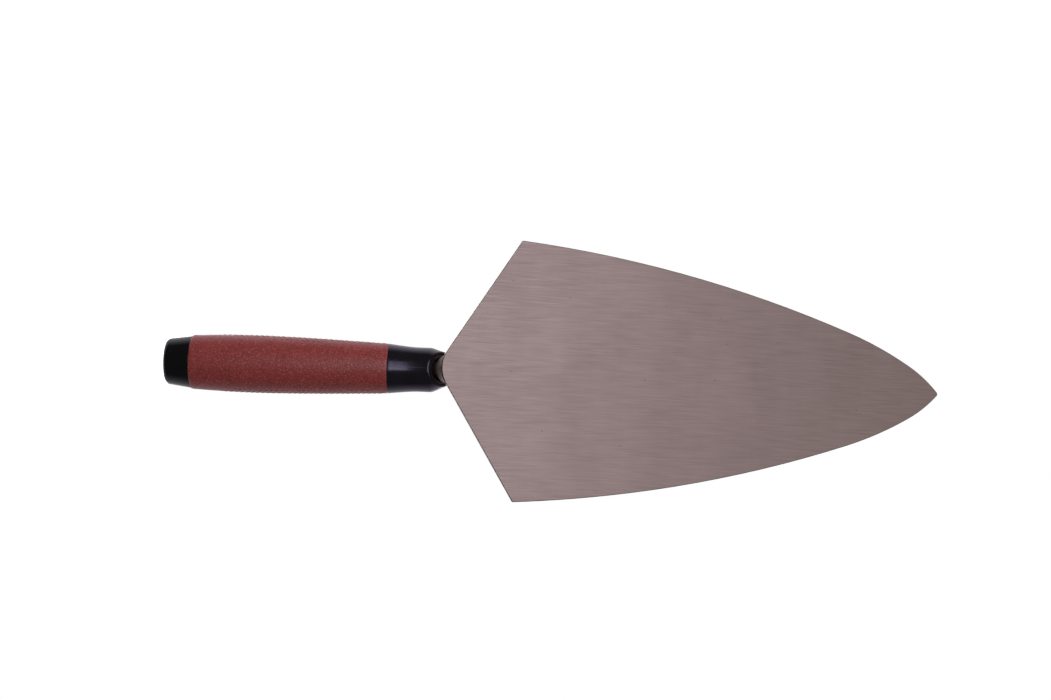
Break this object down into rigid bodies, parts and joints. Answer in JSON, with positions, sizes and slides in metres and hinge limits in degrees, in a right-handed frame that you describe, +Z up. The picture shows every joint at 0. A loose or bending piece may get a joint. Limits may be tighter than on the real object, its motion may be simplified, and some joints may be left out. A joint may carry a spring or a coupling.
{
  "type": "brick trowel",
  "caption": "Brick trowel with a wide-heeled pointed steel blade, bent shank and a soft-gripped handle, for spreading mortar.",
  "frame": {"origin": "bottom centre of the whole trowel's box, on the plane of the blade's flat sole", "axes": "+X from the handle's butt to the blade's tip, +Z up from the sole to the handle, Y across the blade"},
  "size_m": [0.4274, 0.1428, 0.0689],
  "materials": {
    "blade_steel": "ground lengthwise, lightly lacquered",
    "shank_steel": "forged and blasted",
    "weld_steel": "as welded",
    "ring_steel": "satin",
    "collar_plastic": "satin moulded",
    "core_plastic": "as moulded",
    "adhesive": "cured epoxy",
    "grip_rubber": "soft moulded, flecked and fine grained",
    "cap_plastic": "gloss moulded"
  },
  "bodies": {
    "root": {"blade": "blade_steel", "shank": "shank_steel", "weld_bead": "weld_steel", "mouth_ring": "ring_steel", "front_collar": "collar_plastic", "handle_core": "core_plastic", "tang_adhesive": "adhesive", "grip_sleeve": "grip_rubber", "end_cap": "cap_plastic"}
  },
  "joints": []
}
